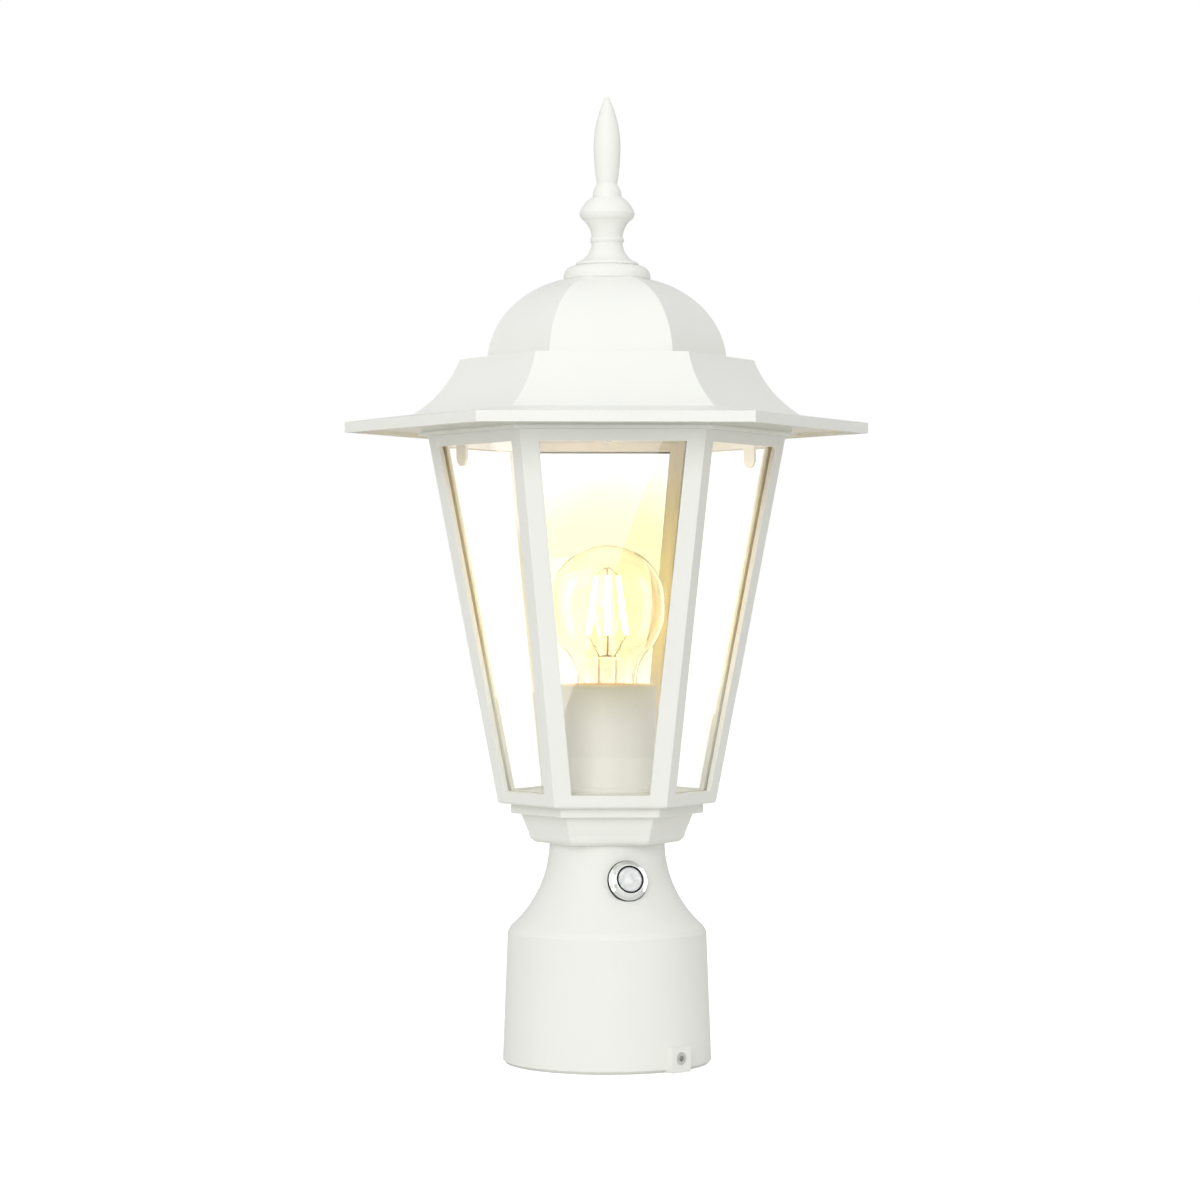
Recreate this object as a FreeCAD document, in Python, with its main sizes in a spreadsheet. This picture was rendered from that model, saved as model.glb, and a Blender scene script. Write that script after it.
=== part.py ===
import FreeCAD, Part
import math
import os
import Sketcher

# Post top lantern: a six-sided cast lantern on a round fitter for a 3 inch post.
# Millimetres, +Z up. The origin is the centre of the fitter's bottom rim, and the
# lantern's front is -Y. A hexagon's size is its corner radius, and its corners are on
# the X axis, so its flat faces look to -Y, +Y and 30 degrees either side of X.

SIZES = {
    # Post fitter: a round cup with a concave neck, cast with its wall all round.
    "bore_radius": 38.5,         # takes a 76.2 mm post
    "bore_depth": 50.0,
    "rim_radius": 42.7,
    "rim_bevel": 1.2,
    "band_height": 53.3,
    "band_top_radius": 40.7,
    "shoulder_radius": 39.5,
    "shoulder_rise": 2.3,
    "neck_radius": 23.6,
    "neck_curve": 46.0,
    "neck_top": 89.8,            # the seat of the gallery
    "fitter_wall": 3.2,
    "neck_roof": 4.0,
    "post_stop": 5.5,            # width of the ledge that stops the post
    # Set screws, in cast pads on the rim.
    "screw_count": 2,
    "screw_turn": -51.5,         # direction of the first screw
    "screw_height": 5.5,
    "screw_radius": 2.5,
    "screw_length": 7.0,
    "screw_socket": 1.3,
    "screw_socket_depth": 2.0,
    "pad_width": 10.0,
    "pad_height": 10.0,
    "pad_reach": 45.8,           # distance of the pad's face from the axis
    # Light sensor in the neck.
    "sensor_turn": -74.5,
    "sensor_tilt": 16.0,
    "sensor_height": 75.5,
    "sensor_reach": 26.2,        # distance of the neck's skin from the axis there
    "boss_radius": 7.6,
    "boss_out": 1.15,
    "boss_in": 5.6,
    "bezel_radius": 8.1,
    "bezel_thick": 0.8,
    "bezel_collar_radius": 6.1,
    "bezel_rise": 3.6,
    "barrel_radius": 5.2,
    "barrel_length": 12.0,
    "barrel_nut_width": 13.4,
    "barrel_nut_thick": 2.4,
    "gasket_radius": 5.6,
    "lens_radius": 5.0,
    "lens_rise": 1.4,
    "cell_radius": 3.6,
    # Gallery: a hexagonal bowl with a plate round its top.
    "bowl_foot_radius": 32.2,
    "bowl_top_radius": 35.5,
    "bowl_height": 11.9,
    "bowl_rounding": 3.8,
    "plate_radius": 39.6,
    "plate_thick": 4.0,
    "gallery_wall": 3.4,
    # Cage: six leaning posts between a floor and a top rail.
    "cage_foot_radius": 44.7,
    "cage_top_radius": 73.4,
    "cage_height": 150.5,
    "cage_rounding": 1.6,
    "cage_wall": 6.6,            # measured level
    "cage_floor": 5.2,
    "stile_width": 7.2,
    "top_rail": 4.8,
    # Glass: six panes that slide down into grooves.
    "glass_thick": 2.5,
    "groove_width": 2.8,
    "groove_lip": 2.0,
    "glass_lap": 3.0,            # how far a pane reaches past its window
    "glass_drop": 1.2,           # how far a pane ends below the cage's top
    # Cap plate, with two tabs that steer the roof into the cage.
    "cap_overhang": 4.1,         # past the cage's top corners
    "cap_thick": 1.3,
    "tab_width": 7.6,
    "tab_length": 12.6,
    "tab_thick": 1.2,
    "tab_inset": 0.9,            # from the cage's inner face at its top
    "tab_aside": 20.0,
    # Roof: brim, concave skirt, ledge, dome and a round collar.
    "brim_radius": 107.4,
    "brim_edge": 4.3,
    "brim_rise": 3.1,
    "skirt_foot_radius": 79.5,
    "skirt_top_radius": 60.4,
    "skirt_rise": 22.5,
    "skirt_curve": 44.0,
    "dome_radius": 49.1,
    "ledge_rise": 0.6,
    "dome_rise": 32.5,
    "dome_top_radius": 17.6,
    "dome_curve": 35.85,
    "roof_wall": 2.6,
    "edge_wall": 2.4,
    "rib_inset": 1.5,            # from the cap plate's corners
    "rib_thick": 3.0,
    "collar_radius": 17.8,
    "collar_side": 1.2,
    "collar_rise": 5.3,
    "collar_top_radius": 13.6,
    "collar_curve": 4.6,
    # Tie rod from the cap plate to the finial.
    "rod_radius": 2.0,
    "rod_below": 2.6,
    "rod_in_finial": 16.0,
    "nut_width": 7.0,
    "nut_thick": 1.8,
    # Finial, turned. Each rise is measured from its foot.
    "finial_foot_radius": 13.1,
    "finial_foot_bevel": 0.5,
    "finial_foot_edge": 1.3,
    "cove_radius": 10.0,
    "cove_rise": 2.6,
    "cove_curve": 9.1,
    "waist_radius": 6.4,
    "waist_rise": 9.1,
    "bead_radius": 7.0,
    "bead_rise": 9.5,
    "bead_height": 2.3,
    "vase_foot_rise": 12.6,
    "vase_radius": 9.3,
    "vase_rise": 18.6,
    "vase_curve": 11.0,
    "knob_radius": 11.3,
    "knob_rise": 21.7,
    "knob_shoulder_curve": 12.0,
    "spear_collar_radius": 5.9,
    "spear_collar_rise": 28.4,
    "spear_collar_curve": 7.7,
    "spear_neck_radius": 4.1,
    "spear_neck_rise": 33.6,
    "spear_radius": 5.5,
    "spear_rise": 48.9,
    "spear_flank_curve": 90.0,
    "spear_crown_curve": 46.7,
    "point_radius": 1.2,
    "finial_height": 69.4,
    # Pipe and nuts that hold fitter, gallery, cage and socket together.
    "pipe_radius": 4.8,
    "pipe_bore": 3.4,
    "pipe_below": 10.6,          # below the neck's top
    "pipe_above": 7.5,           # above the cage's floor
    "pipe_nut_width": 15.9,
    "pipe_nut_thick": 3.5,
    # Lamp socket in its sleeve.
    "sleeve_radius": 20.1,
    "sleeve_wall": 1.9,
    "sleeve_height": 43.9,
    "sleeve_bevel": 0.9,
    "sleeve_lip": 1.8,
    "sleeve_mouth": 14.3,
    "sleeve_ring": 0.7,
    "sleeve_ring_height": 2.0,
    "socket_body_height": 38.0,
    "socket_base": 8.0,
    "shell_radius": 13.1,        # inside
    "shell_wall": 0.5,
    "shell_height": 28.0,
    "contact_radius": 5.0,
    "contact_rise": 4.4,
    # Bulb: clear glass, four light sticks.
    "tip_gap": 0.3,              # from the socket's contact to the bulb's tip
    "tip_radius": 3.2,
    "tip_thick": 1.2,
    "insulator_rise": 3.0,
    "cap_shell_radius": 13.0,
    "cap_shell_wall": 0.4,
    "cap_shell_height": 22.0,
    "glass_wall": 0.8,
    "bulb_neck_radius": 12.2,
    "bulb_neck_rise": 2.2,       # above the sleeve
    "bulb_shoulder_radius": 18.4,
    "bulb_shoulder_rise": 12.8,  # above the neck
    "globe_radius": 23.5,
    "globe_rise": 18.9,          # of its widest ring, above the shoulder
    "stem_radius": 4.9,
    "stem_below": 22.7,          # from the globe's middle down to the stem's top
    "stem_foot_radius": 10.6,
    "stem_foot_rise": 6.0,
    "mast_radius": 0.9,
    "mast_above": 14.5,
    "stick_count": 4,
    "stick_radius": 1.1,
    "stick_below": 13.6,
    "stick_above": 10.2,
    "stick_foot_reach": 7.9,
    "stick_top_reach": 4.4,
    "wire_radius": 0.35,
    # Clearances.
    "fit": 0.05,                 # radial, between a shaft and its hole
    "slack": 0.3,                # between parts that only pass each other
}


class Size:
    """A length on the sheet: its value now, and the formula that binds a property to it."""

    def __init__(self, value, formula):
        self.value = value
        self.formula = formula

    def join(self, sign, other, value):
        formula = other.formula if isinstance(other, Size) else repr(float(other))
        return Size(value, f"({self.formula} {sign} {formula})")

    def __add__(self, other):
        return self.join("+", other, self.value + number(other))

    def __sub__(self, other):
        return self.join("-", other, self.value - number(other))

    def __mul__(self, other):
        return self.join("*", other, self.value * number(other))

    def __truediv__(self, other):
        return self.join("/", other, self.value / number(other))

    def __neg__(self):
        return Size(-self.value, f"(0 - {self.formula})")

    def root(self):
        return Size(math.sqrt(self.value), f"sqrt({self.formula})")


def number(size):
    return size.value if isinstance(size, Size) else size


class Sheet:
    """The driving dimensions, one named cell each."""

    def __init__(self, document, sizes):
        cells = document.addObject("Spreadsheet::Sheet", "Sizes")
        for row, (name, value) in enumerate(sizes.items(), start=1):
            cells.set(f"A{row}", name)
            cells.set(f"B{row}", str(value))
            cells.setAlias(f"B{row}", name)
            setattr(self, name, Size(value, f"Sizes.{name}"))


doc = FreeCAD.newDocument("PostTopLantern")
s = Sheet(doc, SIZES)
doc.recompute()

ORIGIN = FreeCAD.Vector(0, 0, 0)
UP = FreeCAD.Vector(0, 0, 1)
SIDE = FreeCAD.Vector(1, 0, 0)
ZERO = Size(0.0, "0")
FLAT = Size(math.cos(math.radians(30)), "cos(30)")    # a hexagon's flat over its corner
FACES = 6
pieces = {}


# ---------------------------------------------------------------- helpers

def bind(thing, name, size):
    """Sets a property and ties it to the sheet."""
    setattr(thing, name, number(size))
    if isinstance(size, Size):
        thing.setExpression(name, size.formula)


def piece(name, thing):
    """Names a finished sub-part."""
    thing.Label = name
    pieces[name] = thing
    return thing


def arc_middle(start, end, radius):
    """A point halfway along an arc; a positive radius bulges to the right of start-end."""
    chord = end - start
    half = chord.Length / 2
    reach = abs(radius)
    sag = reach - math.sqrt(max(reach * reach - half * half, 0.0))
    right = FreeCAD.Vector(chord.y, -chord.x, 0) / chord.Length
    return (start + end) / 2 + right * math.copysign(sag, radius)


def draw(sketch, corners):
    """A closed outline. A corner is (x, y) or (x, y, radius of the arc that leaves it)."""
    spots = [FreeCAD.Vector(number(c[0]), number(c[1]), 0) for c in corners]
    starts = []
    ends = []
    for index, corner in enumerate(corners):
        start = spots[index]
        end = spots[(index + 1) % len(spots)]
        if len(corner) == 3:
            middle = arc_middle(start, end, number(corner[2]))
            edge = sketch.addGeometry(Part.Arc(start, middle, end), False)
            first = sketch.getPoint(edge, 1).distanceToPoint(start) < 1e-6
            radius = corner[2] if number(corner[2]) > 0 else -corner[2]
            limit(sketch, Sketcher.Constraint("Radius", edge, number(radius)), radius)
        else:
            edge = sketch.addGeometry(Part.LineSegment(start, end), False)
            first = True
        starts.append((edge, 1 if first else 2))
        ends.append((edge, 2 if first else 1))
    for index, corner in enumerate(corners):
        after = (index + 1) % len(corners)
        sketch.addConstraint(Sketcher.Constraint("Coincident", *ends[index], *starts[after]))
        locate(sketch, "DistanceX", -2, starts[index], corner[0])
        locate(sketch, "DistanceY", -1, starts[index], corner[1])


def locate(sketch, kind, axis, spot, size):
    """Holds one coordinate of a sketch point at its distance from the origin."""
    value = number(size)
    if abs(value) < 1e-9:
        sketch.addConstraint(Sketcher.Constraint("PointOnObject", *spot, axis))
    elif value > 0:
        limit(sketch, Sketcher.Constraint(kind, -1, 1, *spot, value), size)
    else:
        limit(sketch, Sketcher.Constraint(kind, *spot, -1, 1, -value), -size)


def limit(sketch, constraint, size):
    """Adds a dimension to a sketch and ties it to the sheet."""
    index = sketch.addConstraint(constraint)
    if isinstance(size, Size):
        sketch.setExpression(f"Constraints[{index}]", size.formula)


def turned(name, corners):
    """A body of revolution about Z; its outline is (radius, height)."""
    body = doc.addObject("PartDesign::Body", name + "_body")
    sketch = body.newObject("Sketcher::SketchObject", name + "_outline")
    plane = [f for f in body.Origin.OriginFeatures if f.Role == "XZ_Plane"][0]
    sketch.AttachmentSupport = [(plane, "")]
    sketch.MapMode = "FlatFace"
    draw(sketch, corners)
    turn = body.newObject("PartDesign::Revolution", name + "_turn")
    turn.Profile = sketch
    turn.ReferenceAxis = (sketch, ["V_Axis"])
    turn.Angle = 360
    body.Tip = turn
    return body


def cylinder(name, radius, height, base=ZERO):
    """A cylinder on the Z axis that stands on the level base."""
    rod = doc.addObject("Part::Cylinder", name)
    bind(rod, "Radius", radius)
    bind(rod, "Height", height)
    lift(rod, base)
    return rod


def lift(thing, base):
    """Moves a thing up to the level base, and ties it there."""
    thing.Placement.Base.z = number(base)
    thing.setExpression("Placement.Base.z", base.formula)


def aim(thing, reach, height, turn, tilt=0.0):
    """Puts a thing's own Z axis outward at turn degrees, tilted up, at (reach, height)."""
    yaw = FreeCAD.Rotation(UP, number(turn))
    swing = FreeCAD.Rotation(FreeCAD.Vector(0, 1, 0), 90 - number(tilt))
    spot = yaw.multVec(FreeCAD.Vector(number(reach), 0, number(height)))
    thing.Placement = FreeCAD.Placement(spot, yaw * swing)


def join(name, things):
    fused = doc.addObject("Part::MultiFuse", name)
    fused.Shapes = things
    fused.Refine = True
    return fused


def cut(name, base, tools):
    """Takes one tool, or several joined, away from a base."""
    done = doc.addObject("Part::Cut", name)
    done.Base = base
    done.Tool = tools[0] if len(tools) == 1 else bundle(name + "_tools", tools)
    return done


def bundle(name, things):
    group = doc.addObject("Part::Compound", name)
    group.Links = things
    return group


def hex_form(name, corners, reach):
    """Six flat-sided prisms, one for each face, and what they have in common.

    The outline is (distance of the face from the axis, height), from foot to top, and
    every prism runs past the axis by reach, so that only its own face shapes the form.
    """
    prisms = []
    closed = [(-reach, corners[0][1])] + corners + [(-reach, corners[-1][1])]
    for side in range(FACES):
        sketch = doc.addObject("Sketcher::SketchObject", f"{name}_outline_{side}")
        draw(sketch, closed)
        stand = FreeCAD.Rotation(SIDE, 90)
        sketch.Placement = FreeCAD.Placement(ORIGIN, FreeCAD.Rotation(UP, 30 + 60 * side) * stand)
        prism = doc.addObject("Part::Extrusion", f"{name}_prism_{side}")
        prism.Base = sketch
        prism.DirMode = "Normal"
        prism.Symmetric = True
        prism.Solid = True
        bind(prism, "LengthFwd", reach * 2)
        prisms.append(prism)
    form = doc.addObject("Part::MultiCommon", name)
    form.Shapes = prisms
    return form


def hex_nut(name, width, thick, hole, base):
    """A hexagon nut round the Z axis."""
    blank = doc.addObject("Part::Prism", name + "_blank")
    blank.Polygon = 6
    bind(blank, "Circumradius", width / 2 / FLAT)
    bind(blank, "Height", thick)
    lift(blank, base)
    return cut(name + "_nut", blank, [cylinder(name + "_hole", hole, thick, base)])


# ---------------------------------------------------------------- levels

SHOULDER = s.band_height + s.shoulder_rise
GALLERY_PLATE = s.neck_top + s.bowl_height
CAGE_FOOT = GALLERY_PLATE + s.plate_thick
CAGE_TOP = CAGE_FOOT + s.cage_height
FLOOR = CAGE_FOOT + s.cage_floor
ROOF_SEAT = CAGE_TOP + s.cap_thick
BRIM_TOP = ROOF_SEAT + s.brim_edge
SKIRT_FOOT = BRIM_TOP + s.brim_rise
SKIRT_TOP = SKIRT_FOOT + s.skirt_rise
DOME_FOOT = SKIRT_TOP + s.ledge_rise
DOME_TOP = DOME_FOOT + s.dome_rise
FINIAL_FOOT = DOME_TOP + s.collar_rise


# ---------------------------------------------------------------- post fitter

def post_fitter():
    inner_neck = s.neck_radius - s.fitter_wall
    cavity_top = s.neck_top - s.neck_roof
    stop_radius = s.bore_radius - s.post_stop
    skin = turned("fitter_skin", [
        (ZERO, ZERO),
        (s.rim_radius - s.rim_bevel, ZERO),
        (s.rim_radius, s.rim_bevel),
        (s.band_top_radius, s.band_height),
        (s.shoulder_radius, SHOULDER, -s.neck_curve),
        (s.neck_radius, s.neck_top),
        (ZERO, s.neck_top)])
    cavity = turned("fitter_cavity", [
        (ZERO, ZERO),
        (s.bore_radius, ZERO),
        (s.bore_radius, s.bore_depth),
        (stop_radius, s.bore_depth),
        (stop_radius, SHOULDER),
        (inner_neck + s.fitter_wall, (SHOULDER + cavity_top) / 2),
        (inner_neck, cavity_top),
        (ZERO, cavity_top)])
    cup = cut("fitter_cup", skin, [cavity])

    added = []
    holes = [cylinder("fitter_pipe_hole", s.pipe_radius + s.slack, s.neck_top)]
    for index in range(int(s.screw_count.value)):
        turn = s.screw_turn.value + 360 * index / s.screw_count.value
        pad = doc.addObject("Part::Box", f"pad_{index + 1}")
        bind(pad, "Length", s.pad_height)
        bind(pad, "Width", s.pad_width)
        bind(pad, "Height", s.pad_reach - s.bore_radius - s.slack)
        aim(pad, s.bore_radius + s.slack, s.pad_height, turn)
        sideways = pad.Placement.Rotation.multVec(FreeCAD.Vector(0, s.pad_width.value / 2, 0))
        pad.Placement.Base = pad.Placement.Base - sideways
        added.append(pad)
        hole = doc.addObject("Part::Cylinder", f"screw_hole_{index + 1}")
        bind(hole, "Radius", s.screw_radius + s.fit)
        bind(hole, "Height", s.rim_radius)
        aim(hole, s.bore_radius - s.post_stop, s.screw_height, turn)
        holes.append(hole)

    boss = doc.addObject("Part::Cylinder", "sensor_boss")
    bind(boss, "Radius", s.boss_radius)
    bind(boss, "Height", s.boss_in + s.boss_out)
    along_sensor(boss, -s.boss_in)
    added.append(boss)
    hole = doc.addObject("Part::Cylinder", "sensor_hole")
    bind(hole, "Radius", s.barrel_radius + s.fit)
    bind(hole, "Height", s.boss_in * 3)
    along_sensor(hole, -s.boss_in * 2)
    holes.append(hole)
    casting = join("fitter_casting", [cup] + added)
    return piece("post_fitter", cut("fitter", casting, holes))


def along_sensor(thing, offset):
    """Puts a thing on the sensor's axis, offset outward from the neck's skin."""
    aim(thing, s.sensor_reach, s.sensor_height, s.sensor_turn, s.sensor_tilt)
    out = thing.Placement.Rotation.multVec(UP)
    thing.Placement.Base = thing.Placement.Base + out * number(offset)


def set_screws():
    """Grub screws with a hexagon socket, flush with their pads."""
    for index in range(int(s.screw_count.value)):
        turn = s.screw_turn.value + 360 * index / s.screw_count.value
        shank = doc.addObject("Part::Cylinder", f"grub_{index + 1}")
        bind(shank, "Radius", s.screw_radius)
        bind(shank, "Height", s.screw_length)
        aim(shank, s.pad_reach - s.screw_length, s.screw_height, turn)
        key = doc.addObject("Part::Prism", f"grub_socket_{index + 1}")
        key.Polygon = 6
        bind(key, "Circumradius", s.screw_socket)
        bind(key, "Height", s.screw_socket_depth)
        aim(key, s.pad_reach - s.screw_socket_depth, s.screw_height, turn)
        piece(f"set_screw_{index + 1}", cut(f"grub_screw_{index + 1}", shank, [key]))


# ---------------------------------------------------------------- light sensor

def sensor():
    """Barrel through the boss, nut inside, bezel outside, gasket, lens and cell."""
    seat = s.boss_out
    inner = -s.boss_in
    lens_seat = s.bezel_rise - s.bezel_thick / 2
    bezel = turned("bezel", [
        (s.gasket_radius, ZERO),
        (s.bezel_radius, ZERO),
        (s.bezel_radius, s.bezel_thick),
        (s.bezel_collar_radius + s.bezel_thick, s.bezel_thick * 2),
        (s.bezel_collar_radius, s.bezel_rise),
        (s.gasket_radius, s.bezel_rise)])
    along_sensor(bezel, seat)
    piece("sensor_bezel", bezel)
    gasket = ring("lens_gasket", s.gasket_radius, s.lens_radius, s.bezel_rise)
    along_sensor(gasket, seat)
    piece("sensor_gasket", gasket)
    barrel = ring("barrel", s.barrel_radius, s.cell_radius + s.slack, s.barrel_length + s.boss_out)
    along_sensor(barrel, seat - s.barrel_length - s.boss_out)
    piece("sensor_barrel", barrel)
    dome = (s.lens_radius * s.lens_radius + s.lens_rise * s.lens_rise) / (s.lens_rise * 2)
    lens = turned("lens", [
        (ZERO, ZERO),
        (s.lens_radius, ZERO),
        (s.lens_radius, lens_seat, dome),
        (ZERO, s.lens_rise + lens_seat)])
    along_sensor(lens, seat)
    piece("sensor_lens", lens)
    nut = hex_nut("barrel", s.barrel_nut_width, s.barrel_nut_thick, s.barrel_radius + s.fit, ZERO)
    along_sensor(nut, inner - s.barrel_nut_thick)
    piece("sensor_nut", nut)
    cell = doc.addObject("Part::Cylinder", "photocell")
    bind(cell, "Radius", s.cell_radius)
    bind(cell, "Height", s.boss_out)
    along_sensor(cell, seat - s.boss_out)
    piece("sensor_cell", cell)


def ring(name, outer, inner, height):
    """A plain ring on its own Z axis."""
    blank = cylinder(name + "_blank", outer, height)
    return cut(name + "_ring", blank, [cylinder(name + "_bore", inner, height)])


# ---------------------------------------------------------------- gallery and cage

def base_gallery():
    foot = s.bowl_foot_radius * FLAT
    skin = hex_form("gallery_skin", [
        (foot - s.bowl_rounding, s.neck_top, s.bowl_rounding),
        (foot, s.neck_top + s.bowl_rounding),
        (s.bowl_top_radius * FLAT, GALLERY_PLATE),
        (s.plate_radius * FLAT, GALLERY_PLATE),
        (s.plate_radius * FLAT, CAGE_FOOT)], s.plate_radius)
    hollow_foot = s.neck_top + s.gallery_wall
    hollow = hex_form("gallery_hollow", [
        ((s.bowl_foot_radius - s.gallery_wall) * FLAT, hollow_foot),
        ((s.bowl_top_radius - s.gallery_wall) * FLAT, GALLERY_PLATE),
        ((s.bowl_top_radius - s.gallery_wall) * FLAT, CAGE_FOOT)], s.plate_radius)
    hole = cylinder("gallery_pipe_hole", s.pipe_radius + s.slack, CAGE_FOOT)
    return piece("base_gallery", cut("gallery", skin, [hollow, hole]))


CAGE_FOOT_FLAT = s.cage_foot_radius * FLAT
CAP_RADIUS = s.cage_top_radius + s.cap_overhang
CAGE_TOP_FLAT = s.cage_top_radius * FLAT
LEAN = (CAGE_TOP_FLAT - CAGE_FOOT_FLAT) / s.cage_height            # run over rise
SLANT = (LEAN * LEAN + 1).root()                                  # length over rise
LEAN_ANGLE = math.degrees(math.atan(LEAN.value))


def pane_plate(name, side, near, far, low, high, margin):
    """A plate in one leaning face of the cage.

    It lies between the depths near and far behind the cage's skin and between the
    levels low and high above the cage's foot, and its edges are margin past the window.
    """
    rise = s.cage_top_radius - s.cage_foot_radius

    def half(level):
        side_here = s.cage_foot_radius + rise * level / s.cage_height
        return side_here / 2 - s.stile_width + margin

    sketch = doc.addObject("Sketcher::SketchObject", name + "_outline")
    draw(sketch, [
        (-half(low), low * SLANT),
        (half(low), low * SLANT),
        (half(high), high * SLANT),
        (-half(high), high * SLANT)])
    turn = FreeCAD.Rotation(UP, 60 * side)
    stand = FreeCAD.Rotation(SIDE, 90 + LEAN_ANGLE)
    spot = FreeCAD.Vector(0, -CAGE_FOOT_FLAT.value, CAGE_FOOT.value)
    spot = spot - stand.multVec(UP) * number(far)
    sketch.Placement = FreeCAD.Placement(turn.multVec(spot), turn * stand)
    plate = doc.addObject("Part::Extrusion", name)
    plate.Base = sketch
    plate.DirMode = "Normal"
    plate.Solid = True
    bind(plate, "LengthFwd", far - near)
    return plate


def cage_frame():
    skin = hex_form("cage_skin", [
        (CAGE_FOOT_FLAT - s.cage_rounding, CAGE_FOOT, s.cage_rounding),
        (CAGE_FOOT_FLAT + LEAN * s.cage_rounding, CAGE_FOOT + s.cage_rounding),
        (CAGE_TOP_FLAT, CAGE_TOP)], s.cage_top_radius)
    chamber = hex_form("cage_chamber", [
        (CAGE_FOOT_FLAT + LEAN * s.cage_floor - s.cage_wall, FLOOR),
        (CAGE_TOP_FLAT - s.cage_wall, CAGE_TOP)], s.cage_top_radius)
    window_low = s.cage_floor
    window_high = s.cage_height - s.top_rail
    groove_low = s.cage_floor - s.groove_lip
    groove_high = s.cage_height + s.cap_thick
    tools = [chamber, cylinder("cage_pipe_hole", s.pipe_radius + s.slack, FLOOR)]
    groove_far = s.groove_lip + s.groove_width
    for side in range(FACES):
        tools.append(pane_plate(f"window_{side}", side, -s.groove_lip, s.cage_wall * 1.5,
                                window_low, window_high, ZERO))
        tools.append(pane_plate(f"groove_{side}", side, s.groove_lip, groove_far,
                                groove_low, groove_high, s.glass_lap + s.slack))
    frame = skin
    for index, tool in enumerate(tools):
        frame = cut(f"cage_cut_{index}", frame, [tool])
    return piece("cage_frame", frame)


def glass_panels():
    near = s.groove_lip + (s.groove_width - s.glass_thick) / 2
    low = s.cage_floor - s.groove_lip
    high = s.cage_height - s.glass_drop
    for side in range(FACES):
        pane = pane_plate(f"pane_{side}", side, near, near + s.glass_thick, low, high, s.glass_lap)
        piece(f"glass_panel_{side + 1}", pane)


# ---------------------------------------------------------------- roof, cap plate, tie rod

def roof():
    brim = s.brim_radius * FLAT
    skirt_foot = s.skirt_foot_radius * FLAT
    skirt_top = s.skirt_top_radius * FLAT
    dome = s.dome_radius * FLAT
    wall = s.roof_wall
    far = s.brim_radius
    skin = hex_form("roof_skin", [
        (brim, ROOF_SEAT),
        (brim, BRIM_TOP),
        (skirt_foot, SKIRT_FOOT, -s.skirt_curve),
        (skirt_top, SKIRT_TOP),
        (dome, DOME_FOOT, s.dome_curve),
        (s.dome_top_radius * FLAT, DOME_TOP)], far)
    hollow = hex_form("roof_hollow", [
        (brim - s.edge_wall, ROOF_SEAT),
        (brim - s.edge_wall, BRIM_TOP - wall),
        (skirt_foot - wall * 0.4, SKIRT_FOOT - wall, -(s.skirt_curve + wall)),
        (skirt_top - wall, SKIRT_TOP - wall),
        (dome - wall, DOME_FOOT - wall, s.dome_curve - wall),
        (s.dome_top_radius * FLAT - wall / 2, DOME_TOP - wall)], far)
    rib_outer = (CAP_RADIUS - s.rib_inset) * FLAT
    rib_skin = hex_form("rib_skin", [(rib_outer, ROOF_SEAT), (rib_outer, SKIRT_TOP)], far)
    rib_inner = rib_outer - s.rib_thick
    rib_bore = hex_form("rib_bore", [(rib_inner, ROOF_SEAT), (rib_inner, SKIRT_TOP)], far)
    cavity = cut("roof_cavity", hollow, [cut("rib", rib_skin, [rib_bore])])
    shell = cut("roof_shell", skin, [cavity])
    collar = turned("roof_collar", [
        (ZERO, DOME_TOP - wall),
        (s.dome_top_radius * FLAT, DOME_TOP - wall),
        (s.collar_radius, DOME_TOP),
        (s.collar_radius, DOME_TOP + s.collar_side, s.collar_curve),
        (s.collar_top_radius, FINIAL_FOOT),
        (ZERO, FINIAL_FOOT)])
    casting = join("roof_casting", [shell, collar])
    hole = cylinder("roof_rod_hole", s.rod_radius + s.slack, FINIAL_FOOT)
    return piece("roof", cut("roof_drilled", casting, [hole]))


def cap_plate():
    """Thin plate under the roof, with two tabs bent down into the cage."""
    sheet = hex_form("cap_sheet", [
        (CAP_RADIUS * FLAT, CAGE_TOP),
        (CAP_RADIUS * FLAT, ROOF_SEAT)], CAP_RADIUS)
    tabs = []
    for name, turn in (("front_tab", -60), ("rear_tab", 120)):
        sketch = doc.addObject("Sketcher::SketchObject", name + "_outline")
        half = s.tab_width / 2
        straight = s.tab_length - half
        foot = CAGE_TOP - straight
        draw(sketch, [
            (s.tab_aside - half, foot, half),
            (s.tab_aside, CAGE_TOP - s.tab_length, half),
            (s.tab_aside + half, foot),
            (s.tab_aside + half, ROOF_SEAT),
            (s.tab_aside - half, ROOF_SEAT)])
        face = FreeCAD.Rotation(UP, turn)
        across = CAGE_TOP_FLAT - s.cage_wall - s.tab_inset
        spot = face.multVec(FreeCAD.Vector(0, -across.value, 0))
        mirrored = FreeCAD.Rotation(UP, 180) * FreeCAD.Rotation(SIDE, 90)
        sketch.Placement = FreeCAD.Placement(spot, face * mirrored)
        tab = doc.addObject("Part::Extrusion", name)
        tab.Base = sketch
        tab.DirMode = "Normal"
        tab.Solid = True
        bind(tab, "LengthFwd", s.tab_thick)
        tabs.append(tab)
    blank = join("cap_blank", [sheet] + tabs)
    hole = cylinder("cap_rod_hole", s.rod_radius + s.fit, ROOF_SEAT)
    return piece("cap_plate", cut("cap", blank, [hole]))


def tie_rod():
    foot = CAGE_TOP - s.rod_below
    rod = cylinder("rod", s.rod_radius, FINIAL_FOOT - foot + s.rod_in_finial, foot)
    piece("tie_rod", rod)
    nut = hex_nut("rod", s.nut_width, s.nut_thick, s.rod_radius, CAGE_TOP - s.nut_thick)
    piece("rod_nut", nut)


# ---------------------------------------------------------------- finial

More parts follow.
